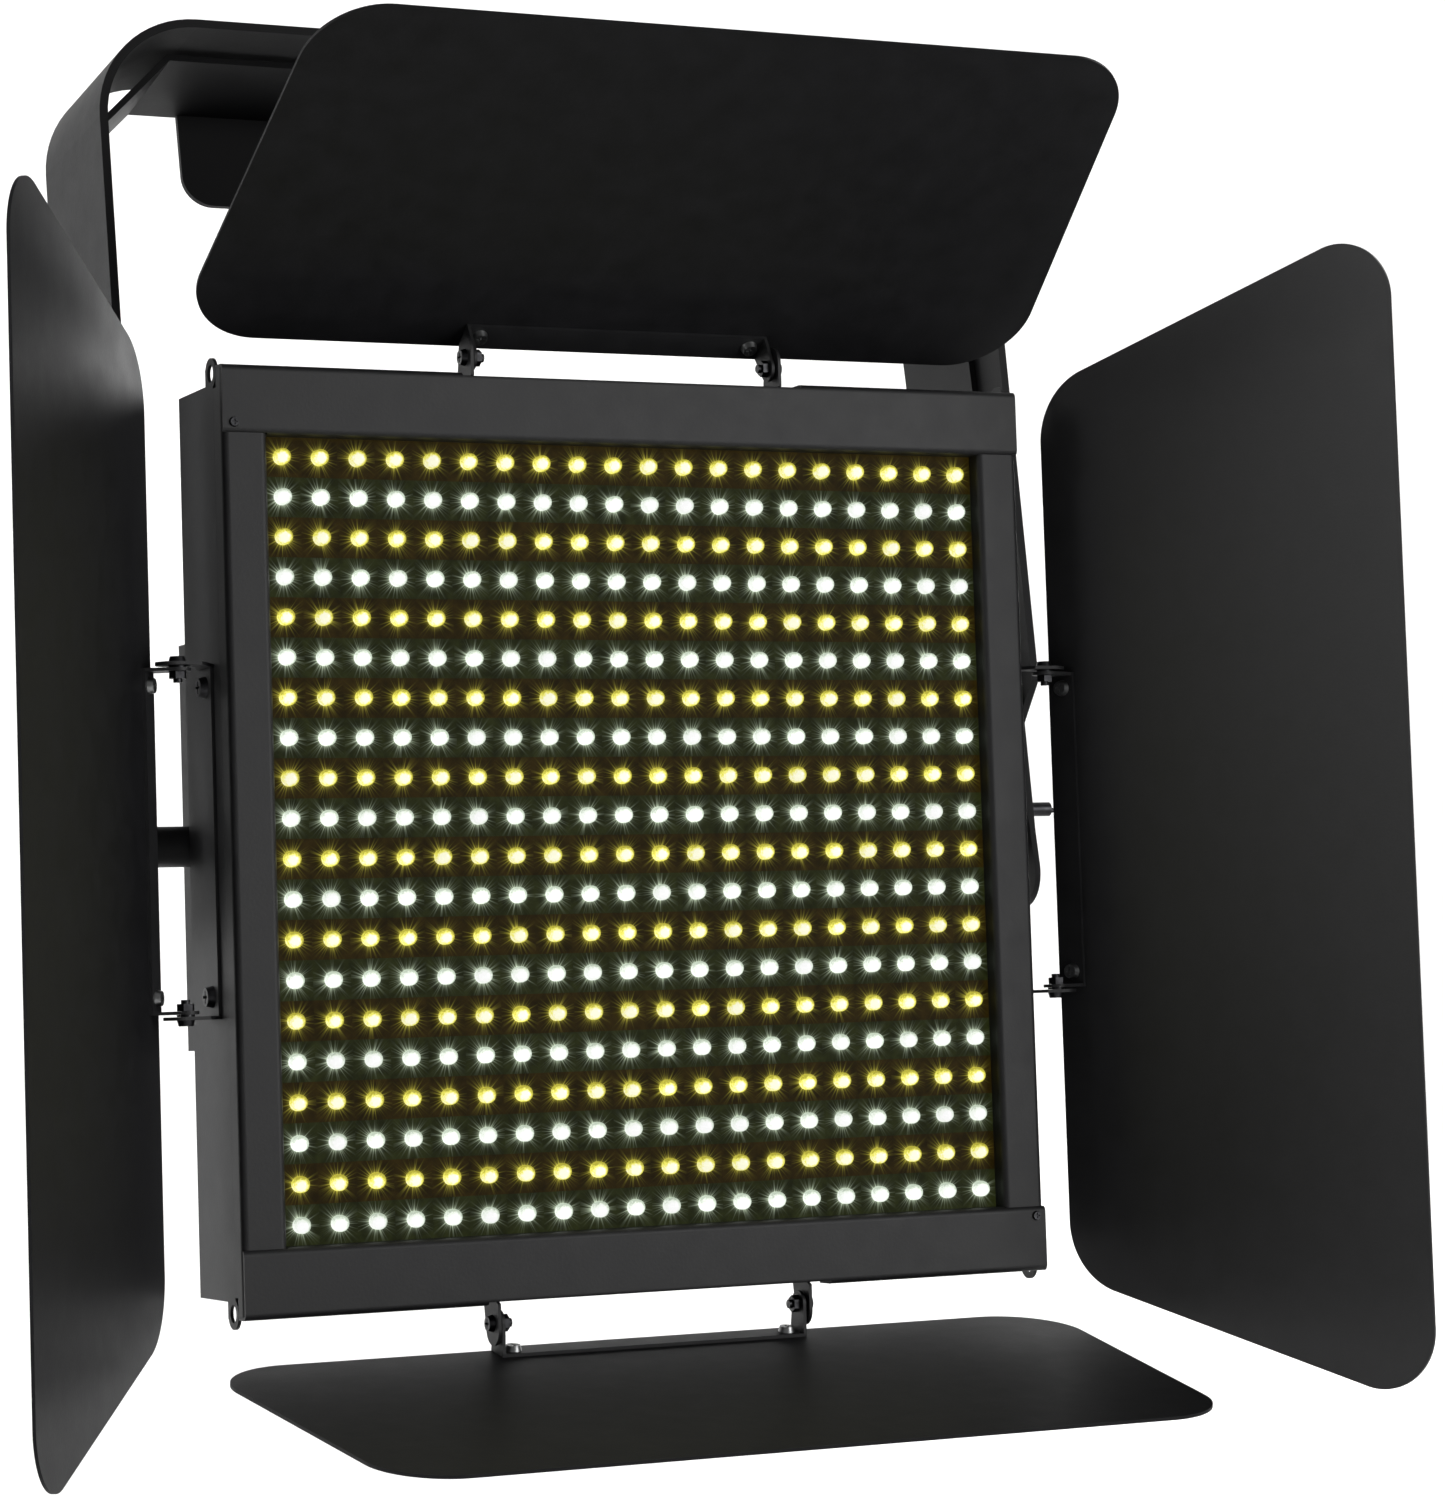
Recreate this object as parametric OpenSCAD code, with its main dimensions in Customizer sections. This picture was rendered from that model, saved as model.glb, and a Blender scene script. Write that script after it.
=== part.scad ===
// LED panel light with four barn doors, hung from a double yoke.
// Millimetres, +Z up. The origin is the centre of the bolt hole in the outer yoke's crossbar.
// Modules inside head() use the panel's own frame: X across, Z up, both zero at the middle of
// the LED field, and Y zero at the front face of the bezel, growing towards the back.

/* [LED field] */
// LEDs along each side of the square field
led_count = 20; // [12:1:24]
// Distance from one LED to the next
led_pitch = 18; // [14:0.5:24]
// Diameter of an LED lens
led_d = 7.4; // [5:0.1:12]
// Height of an LED, from the board to the tip of its dome
led_h = 7; // [5:0.5:8]

/* [Bezel] */
// Width of the bezel's side bars
bezel_side_w = 21; // [14:0.5:30]
// Height of the bezel's top and bottom bars
bezel_end_h = 31; // [26:0.5:40]
// Depth of the bezel's outer flanges
bezel_flange = 13; // [8:0.5:18]
// How far the LED tips sit behind the front face
led_setback = 3.5; // [3:0.5:12]
// Radius of the bends at the bezel's front edges
bezel_bend_r = 3; // [2:0.5:4]

/* [Housing] */
// Depth of the main housing, from the front face to its back
housing_depth = 61.5; // [50:0.5:90]
// How far the housing's top and bottom lie inside the bezel's edge
housing_step = 7.5; // [5:0.5:10]
// Thickness of the housing's sheet metal
sheet = 1.5; // [1:0.1:2]
// Radius of the drilled ears at the corners of the side plates
ear_r = 7; // [5:0.5:8]
// Diameter of the hole in each ear
ear_hole_d = 8; // [4:0.5:9]

/* [Rear box] */
// How far the electronics box's sides lie inside the bezel's
box_inset = 6; // [3:0.5:30]
// Height of the electronics box
box_h = 186; // [150:1:220]
// Depth of the electronics box
box_depth = 27; // [26:0.5:45]

/* [Barn doors] */
// Length of a door, from its hinged edge to its outer edge
door_len = 198; // [150:1:215]
// Thickness of a door's sheet
door_t = 1.5; // [1:0.1:2]
// How far the top and bottom doors reach past the bezel's sides at the hinged edge
end_door_lap = 12.7; // [0:0.1:14]
// How far each side of the top and bottom doors draws in towards the outer edge
end_door_taper = 16.9; // [0:0.1:50]
// How far the side doors reach past the bezel's top and bottom at the hinged edge
side_door_lap = 5; // [0:0.5:15]
// How far each end of the side doors flares out towards the outer edge
side_door_flare = 59.7; // [0:0.1:70]
// Corner radius of the doors
door_corner_r = 35; // [10:1:45]
// Corner radius of the side doors at their outer edges
side_tip_r = 28; // [10:1:45]
// Angle of the top door, outwards from straight ahead
top_angle = 36; // [20:1:60]
// Angle of the bottom door
bottom_angle = 9.5; // [5:0.5:60]
// Angle of the right door
right_angle = 26; // [15:1:60]
// Angle of the left door
left_angle = 33; // [15:1:60]

/* [Door hinges] */
// Distance of each hinge line outside the bezel's side faces
hinge_out = 19; // [17:0.1:24]
// Depth of the hinge lines behind the front face
hinge_y = 15; // [13:0.5:18]
// Distance from the hinge line to the middle of the door's sheet
door_offset = 14.8; // [12:0.1:18]
// How far a door's sheet reaches behind its hinge line
door_back = 6.7; // [5:0.1:9]
// Height of the top and bottom hinge lines above the bezel's top and bottom
end_hinge_out = 9; // [8.5:0.5:14]
// Half distance between the fixed ears of a hinge, at their outer faces
ear_half = 79; // [50:1:90]
// Thickness of the hinge brackets and strips
bracket_t = 1.5; // [1:0.1:2]
// Diameter of the hinge pins
pin_d = 4; // [3:0.5:5]

/* [Yoke] */
// Gap between the housing's sides and the inner yoke's arms
arm_room = 23; // [15:0.5:40]
// Width of the outer yoke's flat bar
yoke_w = 88; // [60:1:110]
// Thickness of the outer yoke's bar
yoke_t = 4; // [3:0.5:5]
// Height from the tilt axis to the top of the outer yoke's crossbar
yoke_h = 382; // [310:1:470]
// Outer radius of the outer yoke's corners
yoke_corner_r = 50; // [20:1:80]
// Lean of the outer yoke behind the panel's plane
yoke_lean = 7.2; // [3:0.1:25]
// Width of the inner yoke's bar
inner_w = 67; // [50:1:80]
// Thickness of the inner yoke's bar
inner_t = 3; // [2:0.5:3.5]
// Lean of the inner yoke behind the panel's plane
inner_lean = 10.7; // [4:0.1:30]
// Length of the 45 degree cut across the inner yoke's corners
inner_corner = 41; // [20:1:60]
// Height of the flange that hangs from the back of the inner crossbar
flange_h = 46; // [30:1:60]
// Distance of the tilt axis behind the front face
tilt_y = 75.5; // [74:0.5:90]
// Diameter of the spacer posts on the tilt axis
post_d = 18.6; // [14:0.1:22]

/* [Hidden] */
$fn = 48;

eps = 0.01;
run = 0.05;              // radial clearance of a shaft in its hole
gap = 0.3;               // clearance between pieces that move past each other

black = "#2b2b2d";
steel = "#8d9094";
fitting = "#17181a";

// LED field and bezel
bezel_screw_up = bezel_bend_r + 1.8; // from the LED field's edge to the bezel screws, clear of the bend
field = led_count * led_pitch;
panel_w = field + 2 * bezel_side_w;
panel_h = field + 2 * bezel_end_h;
board_y = led_setback + led_h;
board_t = 1.6;

// Housing
wall_x = panel_w / 2;                    // outer face of the side plates
wall_z = panel_h / 2 - housing_step;     // outer face of the top and bottom walls
back_y = housing_depth;
shoulder_y = bezel_flange + 10.5;        // back of the side plates' tall front part
ear_y = bezel_flange + ear_r - 3.5;
ear_z = panel_h / 2 - 2.5;

// Heat sink and its posts
sink_y = board_y + board_t;
sink_t = 3;
sink_size = field - 10;
fin_count = 14;
fin_t = 1.6;
fin_h = 18;
post_spread = field / 2 - 25;
board_post_d = 8;

// Rear box
box_w = panel_w - 2 * box_inset;
box_back = back_y + box_depth;
cover_t = 2;

// Doors and hinges; SIDES holds each side's turn about Y, wall distance and hinge distance
hinge_z = panel_h / 2 + end_hinge_out;
hinge_x = wall_x + hinge_out;
TOP = [0, wall_z, hinge_z];
BOTTOM = [180, wall_z, hinge_z];
RIGHT = [90, wall_x, hinge_x];
LEFT = [-90, wall_x, hinge_x];
boss_r = 7.5;                            // round end of a bracket's ear
boss_rise = 2.5;                         // its centre's height over the hinge line
ear_washer = 1;                          // thickness of the washers between the ears
notch_out = 7;                           // reach of the bezel's notches past the ears
bracket_y = 7;                           // front edge of a bracket's base, behind the hinge line
bracket_w = 16;
strip_w = 14;
screw_x = ear_half - 10;
wall_screw_d = 5;
door_screw_d = 4;
strip_screw_y = -1.5;

// Yoke
inner_half = wall_x + arm_room + inner_t;
yoke_half = inner_half + 0.5 + yoke_t;
inner_h = yoke_h - yoke_t - 3;
inner_foot = 40;                         // how far the inner arms reach below the tilt axis
inner_foot_r = 17;
flange_half = inner_half - 66;
flange_r = 15;
tongue_w = 52;                           // width of the outer arms at the tilt axis
shoulder_low = 52;
shoulder_high = 70;
tilt_bolt_d = 8;
lock_d = 7;
lock_rise = 13;                          // lock screws' height above the tilt axis
hang_hole_d = 13;
side_hole_d = 11;
side_hole_x = 60;
crossbar_mid = yoke_h - yoke_t / 2;

// Frames ---------------------------------------------------------------------------------

// Moves the tilt axis to its place under the crossbar's bolt hole.
module tilt_axis() {
    translate([0, -crossbar_mid * sin(yoke_lean), -crossbar_mid * cos(yoke_lean)]) children();
}

// A yoke's own frame: Z runs up its arms from the tilt axis, Y across the width of its bar.
module leaning(angle) {
    tilt_axis() rotate([-angle, 0, 0]) children();
}

module head() {
    tilt_axis() translate([0, -tilt_y, 0]) children();
}

// One side's hinge frame: X along the hinge line, Z outwards from the panel's middle.
module on_side(side) {
    head() rotate([0, side[0], 0]) translate([0, hinge_y, side[2]]) children();
}

// The frame of a door on one side, which runs from the hinge line along -Y.
module on_door(side, angle) {
    on_side(side) rotate([-angle, 0, 0]) children();
}

module both_x(x) {
    for (s = [-1, 1]) translate([s * x, 0, 0]) children();
}

// Basic shapes ---------------------------------------------------------------------------

// Cylinders from the origin along +Y, -Y and +X.
module rod_y(d, h) { rotate([-90, 0, 0]) cylinder(d = d, h = h); }
module rod_x(d, h) { rotate([0, 90, 0]) cylinder(d = d, h = h); }

// A block given by its lowest and highest corners.
module block(low, high) { translate(low) cube(high - low); }

// A flat shape drawn in Y and Z, made solid from x0 to x1.
module plate_x(x0, x1) {
    translate([x0, 0, 0]) rotate([90, 0, 90]) linear_extrude(x1 - x0) children();
}

// A flat shape drawn in X and Z, made solid from y0 to y1.
module plate_y(y0, y1) {
    translate([0, y1, 0]) rotate([90, 0, 0]) linear_extrude(y1 - y0) children();
}

function unit(v) = v / norm(v);
function corner_centre(p, before, after, r) =
    let (a = unit(before - p), b = unit(after - p), half = acos(a * b) / 2)
    p + unit(a + b) * r / sin(half);

// A convex outline with round corners, one radius for each point.
module round_outline(points, radii) {
    n = len(points);
    hull() for (i = [0:n - 1])
        translate(corner_centre(points[i], points[(i + n - 1) % n], points[(i + 1) % n], radii[i]))
            circle(radii[i], $fn = 96);
}

// A rectangle about the origin with round corners.
module round_rect(w, h, r) {
    square([w, h - 2 * r], center = true);
    square([w - 2 * r, h], center = true);
    for (sx = [-1, 1], sy = [-1, 1]) translate([sx * (w / 2 - r), sy * (h / 2 - r)]) circle(r);
}

// A pan head with a cross recess: shank along -Z, head above z = 0.
module pan_screw(d, length, head_d, head_h) {
    difference() {
        union() {
            translate([0, 0, -length]) cylinder(d = d, h = length + eps);
            cylinder(d1 = head_d, d2 = head_d * 0.82, h = head_h);
        }
        for (turn = [0, 90]) rotate([0, 0, turn])
            translate([-head_d * 0.28, -head_d * 0.06, head_h - head_d * 0.14])
                cube([head_d * 0.56, head_d * 0.12, head_d]);
    }
}

// A hexagon nut above z = 0 for a shank of diameter d.
module nut(d) {
    difference() {
        cylinder(d = d * 2, h = d * 0.8, $fn = 6);
        translate([0, 0, -1]) cylinder(d = d + 2 * run, h = d + 2);
    }
}

// Yokes ----------------------------------------------------------------------------------

// The outer yoke seen from the front, solid down to z = low.
module arch(half, height, r, low) {
    translate([-half, low]) square([2 * half, height - r - low]);
    translate([-half + r, low]) square([2 * (half - r), height - low]);
    for (s = [-1, 1]) translate([s * (half - r), height - r]) circle(r, $fn = 96);
}

// The side view of the outer arms: full width above, a round-ended tongue at the tilt axis.
module outer_arm_side() {
    polygon([
        [-yoke_w / 2, yoke_h + 1], [-yoke_w / 2, shoulder_high], [-tongue_w / 2, shoulder_low],
        [-tongue_w / 2, 0], [tongue_w / 2, 0], [tongue_w / 2, shoulder_low],
        [yoke_w / 2, shoulder_high], [yoke_w / 2, yoke_h + 1]
    ]);
    circle(d = tongue_w);
}

module outer_yoke() {
    color(black) leaning(yoke_lean) difference() {
        intersection() {
            plate_y(-yoke_w / 2, yoke_w / 2) difference() {
                arch(yoke_half, yoke_h, yoke_corner_r, -tongue_w);
                arch(yoke_half - yoke_t, yoke_h - yoke_t, yoke_corner_r - yoke_t, -tongue_w - 1);
            }
            plate_x(-yoke_half - 1, yoke_half + 1) outer_arm_side();
        }
        translate([-yoke_half - 1, 0, 0]) rod_x(tilt_bolt_d + 2 * run, 2 * yoke_half + 2);
        translate([-yoke_half - 1, 0, lock_rise]) rod_x(lock_d - 2 + 2 * run, 2 * yoke_half + 2);
        translate([0, 0, yoke_h - yoke_t - 1]) cylinder(d = hang_hole_d, h = yoke_t + 2);
        both_x(side_hole_x) translate([0, 0, yoke_h - yoke_t - 1])
            cylinder(d = side_hole_d, h = yoke_t + 2);
    }
}

// The inner yoke seen from the front, with its corners cut at 45 degrees.
module cut_arch(half, height, cut, low) {
    polygon([[-half, low], [-half, height - cut], [-half + cut, height],
             [half - cut, height], [half, height - cut], [half, low]]);
}

// The side view of the inner arms, rounded at their lower ends.
module inner_arm_side() {
    low = -inner_foot + inner_foot_r;
    translate([-inner_w / 2, low]) square([inner_w, inner_h + 1 - low]);
    translate([-inner_w / 2 + inner_foot_r, -inner_foot])
        square([inner_w - 2 * inner_foot_r, inner_foot]);
    for (s = [-1, 1]) translate([s * (inner_w / 2 - inner_foot_r), low]) circle(inner_foot_r);
}

module inner_yoke() {
    inside_cut = inner_corner - inner_t * (2 - sqrt(2));
    color(black) leaning(inner_lean) difference() {
        union() {
            intersection() {
                plate_y(-inner_w / 2, inner_w / 2) difference() {
                    cut_arch(inner_half, inner_h, inner_corner, -inner_foot - 1);
                    cut_arch(inner_half - inner_t, inner_h - inner_t, inside_cut, -inner_foot - 2);
                }
                plate_x(-inner_half - 1, inner_half + 1) inner_arm_side();
            }
            plate_y(inner_w / 2 - inner_t, inner_w / 2) {
                translate([-flange_half, inner_h - inner_t - flange_h + flange_r])
                    square([2 * flange_half, flange_h - flange_r + eps]);
                translate([-flange_half + flange_r, inner_h - inner_t - flange_h])
                    square([2 * (flange_half - flange_r), flange_h]);
                for (s = [-1, 1])
                    translate([s * (flange_half - flange_r), inner_h - inner_t - flange_h + flange_r])
                        circle(flange_r);
            }
        }
        translate([-inner_half - 1, 0, 0]) rod_x(tilt_bolt_d + 2 * run, 2 * inner_half + 2);
        translate([0, 0, inner_h - inner_t - 1]) cylinder(d = 2 * hang_hole_d, h = inner_t + 2);
    }
}

// A thumb screw in the outer arm that bears on the inner arm and locks the two yokes.
module lock_screw(s) {
    collar = 14.5;
    grip = 9;
    tip = 2.4;
    color(steel) leaning(yoke_lean) rotate([0, 0, s > 0 ? 0 : 180]) translate([0, 0, lock_rise]) {
        translate([yoke_half - yoke_t, 0, 0]) rod_x(lock_d - 2, yoke_t + collar);
        translate([yoke_half + 0.1, 0, 0]) rod_x(lock_d, collar + grip);
        translate([yoke_half + collar + grip, 0, -0.6]) rod_x(2.6, tip);
    }
}

// Pieces on the tilt axis ------------------------------------------------------------------

module tilt_posts() {
    color(black) tilt_axis() for (s = [-1, 1]) rotate([0, 0, s > 0 ? 0 : 180])
        difference() {
            translate([box_w / 2, 0, 0]) rod_x(post_d, inner_half - inner_t - box_w / 2 - 0.1);
            translate([box_w / 2 + 2, 0, 0]) rod_x(tilt_bolt_d + 2 * run, inner_half);
        }
}

module tilt_washers() {
    color(steel) tilt_axis() for (s = [-1, 1]) rotate([0, 0, s > 0 ? 0 : 180])
        difference() {
            translate([yoke_half + 0.1, 0, 0]) rod_x(2 * tilt_bolt_d, 1.4);
            translate([yoke_half - 1, 0, 0]) rod_x(tilt_bolt_d + 2 * run, 5);
        }
}

// Socket-head bolts through both arms into the posts.
module tilt_bolts() {
    head_x = yoke_half + 1.5;
    head_d = 1.62 * tilt_bolt_d;
    color(steel) tilt_axis() for (s = [-1, 1]) rotate([0, 0, s > 0 ? 0 : 180])
        difference() {
            union() {
                translate([box_w / 2 + 3, 0, 0]) rod_x(tilt_bolt_d, head_x - box_w / 2 - 3 + eps);
                translate([head_x, 0, 0]) rod_x(head_d, tilt_bolt_d);
            }
            translate([head_x + tilt_bolt_d / 2, 0, 0]) rotate([0, 90, 0])
                cylinder(d = 0.86 * tilt_bolt_d, h = tilt_bolt_d, $fn = 6);
        }
}

// Bezel --------------------------------------------------------------------------------------

// A bent channel seen from its end: its face lies along X at y = 0, from x = 0 to x = face,
// with a leg at x = 0 and a leg at x = face.
module channel(face, leg0, leg1) {
    r = bezel_bend_r;
    deep = max(leg0, leg1) + 1;
    difference() {
        union() {
            translate([0, r]) square([face, deep - r]);
            translate([r, 0]) square([face - 2 * r, deep]);
            for (x = [r, face - r]) translate([x, r]) circle(r);
        }
        translate([sheet, r]) square([face - 2 * sheet, deep]);
        translate([r, sheet]) square([face - 2 * r, deep]);
        for (x = [r, face - r]) translate([x, r]) circle(r - sheet);
        translate([-1, leg0]) square([sheet + 2, deep]);
        translate([face - sheet - 1, leg1]) square([sheet + 2, deep]);
    }
}

// Room in the bezel's flanges for the side plates' ears.
module ear_room() {
    for (sx = [-1, 1], sz = [-1, 1])
        translate([sx * panel_w / 2, ear_y - ear_r - 0.2 + 10, sz * (ear_z - ear_r - 0.2 + 10)])
            cube([2 * sheet + 0.2, 20, 20], center = true);
}

// The notch in an end bar's flange that a hinge's ears stand in.
module ear_notch() {
    half = ear_half + notch_out;
    low = panel_h / 2 - sheet - 0.1;
    translate([-half, -1, low]) cube([2 * half, bezel_flange + 2, sheet + 2]);
}

// The top or bottom bar, which laps over the ends of the side bars. It is built at the top.
module bezel_end() {
    half = panel_w / 2;
    difference() {
        translate([-half, 0, field / 2]) rotate([0, 0, 90]) rotate([90, 0, 0])
            linear_extrude(2 * half) rotate(90) mirror([0, 1]) channel(bezel_end_h, board_y, bezel_flange);
        for (s = [-1, 1]) translate([s > 0 ? field / 2 : -half - 1, sheet + eps, field / 2 - 1])
            cube([half - field / 2 + 1, board_y, bezel_end_h + 1 - sheet - 0.1]);
        translate([5 - half, -1, field / 2 + bezel_screw_up]) rod_y(3 + 2 * run, 5);
        ear_room();
        ear_notch();
    }
}

module bezel_top() { color(black) head() bezel_end(); }
module bezel_bottom() { color(black) head() rotate([0, 180, 0]) bezel_end(); }

// A side bar, built on the right. Its face lies one sheet behind the end bars' faces.
module bezel_side() {
    run_z = panel_h / 2 - sheet - 0.1;
    difference() {
        translate([field / 2, sheet + 0.02, -run_z]) linear_extrude(2 * run_z)
            channel(bezel_side_w, board_y - sheet - 0.02, bezel_flange - sheet);
        for (s = [-1, 1]) translate([field / 2 - 1, 2 * sheet + 0.1, s > 0 ? field / 2 : -run_z - 1])
            cube([bezel_side_w - sheet - 0.5, board_y, run_z - field / 2 + 1]);
        translate([panel_w / 2 - 5, -1, -field / 2 - bezel_screw_up]) rod_y(3 + 2 * run, 8);
        ear_room();
    }
}

module bezel_right() { color(black) head() bezel_side(); }
module bezel_left() { color(black) head() rotate([0, 180, 0]) bezel_side(); }

module bezel_screws() {
    color(steel) head() for (s = [-1, 1])
        translate([s * (panel_w / 2 - 5), 0, -s * (field / 2 + bezel_screw_up)])
            rotate([90, 0, 0]) pan_screw(3, 6, 4.6, 1.2);
}

// Housing -------------------------------------------------------------------------------------

// One side plate seen from the side, with the two bracket screw holes.
module side_plate_outline() {
    difference() {
        union() {
            translate([bezel_flange + 0.1, -wall_z]) square([back_y - bezel_flange - 0.1, 2 * wall_z]);
            translate([bezel_flange + 0.1, -panel_h / 2]) square([shoulder_y - bezel_flange - 0.1, panel_h]);
            for (s = [-1, 1]) translate([ear_y, s * ear_z]) circle(ear_r);
        }
        for (s = [-1, 1]) {
            translate([ear_y, s * ear_z]) circle(d = ear_hole_d);
            translate([hinge_y + bracket_y + bracket_w / 2, s * screw_x]) circle(d = wall_screw_d + 2 * run);
        }
    }
}

module side_plate_right() { color(black) head() plate_x(wall_x - sheet, wall_x) side_plate_outline(); }
module side_plate_left() { color(black) head() plate_x(-wall_x, -wall_x + sheet) side_plate_outline(); }

// The top, back and bottom walls, bent from one sheet, with vent slots in the back.
module housing_tray() {
    half = wall_x - sheet;
    slot_w = 4;
    slot_h = 46;
    slot_z = (wall_z + box_h / 2) / 2 - slot_h / 2;
    color(black) head() difference() {
        block([-half, board_y + 1, -wall_z], [half, back_y, wall_z]);
        block([-half - 1, 0, -wall_z + sheet], [half + 1, back_y - sheet, wall_z - sheet]);
        for (sz = [-1, 1], x = [-160:16:160])
            translate([x - slot_w / 2, back_y - sheet - 1, sz > 0 ? slot_z : -slot_z - slot_h])
                cube([slot_w, sheet + 2, slot_h]);
        for (s = [-1, 1]) translate([s * screw_x, hinge_y + bracket_y + bracket_w / 2, -wall_z - 1])
            cylinder(d = wall_screw_d + 2 * run, h = 2 * wall_z + 2);
        both_x(field / 4) translate([0, back_y - 5, 0]) rod_y(24, 10);
        for (sx = [-1, 1], sz = [-1, 1])
            translate([sx * post_spread, back_y - 5, sz * post_spread]) rod_y(3 + 2 * run, 10);
        translate([0, back_y - 5, wall_z - 16]) rod_y(6 + 2 * run, 10);
    }
}

// LEDs and heat sink ---------------------------------------------------------------------------

module led_board() {
    half = field / 2 + 3;
    color("#10221a") head() block([-half, board_y, -half], [half, board_y + board_t, half]);
}

// One LED, narrowing towards its tip, which points forwards.
module led() {
    rotate([90, 0, 0]) cylinder(d1 = led_d, d2 = led_d * 0.62, h = led_h, $fn = 8);
}

// The rows of LEDs take turns, warm and cool. The top row is warm.
module led_rows(first) {
    start = -(led_count - 1) / 2 * led_pitch;
    head() for (row = [first:2:led_count - 1], column = [0:led_count - 1])
        translate([start + column * led_pitch, board_y, -start - row * led_pitch]) led();
}

module warm_leds() { color("#f2dc6a") led_rows(0); }
module cool_leds() { color("#eef4f0") led_rows(1); }

module heat_sink() {
    half = sink_size / 2;
    color("silver") head() difference() {
        union() {
            block([-half, sink_y, -half], [half, sink_y + sink_t, half]);
            for (i = [0:fin_count - 1]) {
                x = -half + (sink_size - fin_t) * i / (fin_count - 1);
                block([x, sink_y + sink_t - eps, -half], [x + fin_t, sink_y + sink_t + fin_h, half]);
            }
        }
        for (sx = [-1, 1], sz = [-1, 1])
            translate([sx * post_spread, sink_y - 1, sz * post_spread]) rod_y(board_post_d + 2, sink_t + fin_h + 2);
    }
}

// Four posts that carry the LED board from the back wall.
module board_posts() {
    color("silver") head() for (sx = [-1, 1], sz = [-1, 1])
        translate([sx * post_spread, sink_y, sz * post_spread])
            difference() {
                rod_y(board_post_d, back_y - sheet - sink_y);
                translate([0, back_y - sheet - sink_y - 10, 0]) rod_y(3 + 2 * run, 11);
            }
}

// Rear box ------------------------------------------------------------------------------------

// Places of the fittings on the cover, seen in the panel's frame.
display_x = -box_w / 2 + 100;
button_x = [for (i = [0:3]) display_x + 59 + 18 * i];
fitting_z = 22;
low_z = -44;
data_x = [box_w / 2 - 125, box_w / 2 - 77];
power_x = [-box_w / 2 + 77, box_w / 2 - 77];
fuse_x = power_x[0] + 58;
button_d = 9;
button_travel = 1.5;

module rear_box() {
    half = box_w / 2;
    color(black) head() difference() {
        block([-half, back_y, -box_h / 2], [half, box_back - cover_t, box_h / 2]);
        block([-half + sheet, back_y - 1, -box_h / 2 + sheet], [half - sheet, box_back, box_h / 2 - sheet]);
    }
}

module rear_cover() {
    color(black) head() difference() {
        block([-box_w / 2, box_back - cover_t, -box_h / 2], [box_w / 2, box_back, box_h / 2]);
        block([display_x - 25, box_back - 5, fitting_z - 10], [display_x + 25, box_back + 1, fitting_z + 10]);
        for (x = button_x) translate([x, box_back - 5, fitting_z]) rod_y(button_d + 0.6, 10);
        for (x = data_x) translate([x, box_back - 5, fitting_z]) rod_y(22 + 2 * run, 10);
        for (x = power_x) block([x - 14, box_back - 5, low_z - 10], [x + 14, box_back + 1, low_z + 10]);
        translate([fuse_x, box_back - 5, low_z]) rod_y(12 + 2 * run, 10);
        for (x = [-20:12:76], z = [low_z - 14, low_z + 2])
            translate([x, box_back - 5, z]) cube([4, 10, 12]);
        for (sx = [-1, 1], z = [-80, 0, 80])
            translate([sx * (box_w / 2 - 7), box_back - 5, z]) rod_y(3 + 2 * run, 10);
    }
}

module cover_screws() {
    color(steel) head() for (sx = [-1, 1], z = [-80, 0, 80])
        translate([sx * (box_w / 2 - 7), box_back, z]) rotate([-90, 0, 0]) pan_screw(3, 8, 5.6, 2);
}

module power_supply() {
    color("silver") head() block([-box_w / 2 + 15, back_y, low_z + 19],
                                 [data_x[0] - 22, box_back - cover_t - 6.5, box_h / 2 - 8]);
}

module driver_board() {
    color("#10221a") head() {
        block([data_x[0] - 14, back_y + 3, -60], [data_x[1] + 60, back_y + 4.6, 60]);
        for (x = [data_x[0] - 8, data_x[1] + 52], z = [-52, 52]) translate([x, back_y, z]) rod_y(6, 3.1);
        for (i = [0:2]) block([data_x[0] - 4 + 36 * i, back_y + 4.5, -24], [data_x[0] + 12 + 36 * i, back_y + 12, 0]);
    }
}

module display() {
    color("#0c2c30") head() {
        block([display_x - 25, box_back - 4, fitting_z - 10],
              [display_x + 25, box_back - 0.4, fitting_z + 10]);
    }
}

// A rectangular mains socket with three blades or slots.
module power_fitting(x, male) {
    color(fitting) head() translate([x, box_back, low_z]) difference() {
        union() {
            plate_y(0, 2) round_rect(36, 26, 4);
            block([-13.9, -18, -9.9], [13.9, 0.5, 9.9]);
        }
        if (male) block([-11.5, -14, -7.5], [11.5, 3, 7.5]);
        else for (p = [[-6, 3], [6, 3], [0, -4]])
            block([p[0] - 1.6, -14, p[1] - 2.2], [p[0] + 1.6, 3, p[1] + 2.2]);
    }
    if (male) color(steel) head() translate([x, box_back, low_z])
        for (p = [[-6, 2.5], [6, 2.5], [0, -3]])
            block([p[0] - 1, -16, p[1] - 2], [p[0] + 1, -2, p[1] + 2]);
}

module power_inlet() { power_fitting(power_x[0], true); }
module power_outlet() { power_fitting(power_x[1], false); }

module fuse_holder() {
    color(fitting) head() translate([fuse_x, box_back, low_z]) difference() {
        union() {
            translate([0, -16, 0]) rod_y(12, 17);
            rod_y(16, 2);
            translate([0, 2 - eps, 0]) rod_y(12.5, 3);
        }
        block([-5, 4, -0.8], [5, 6, 0.8]);
    }
}

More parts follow.
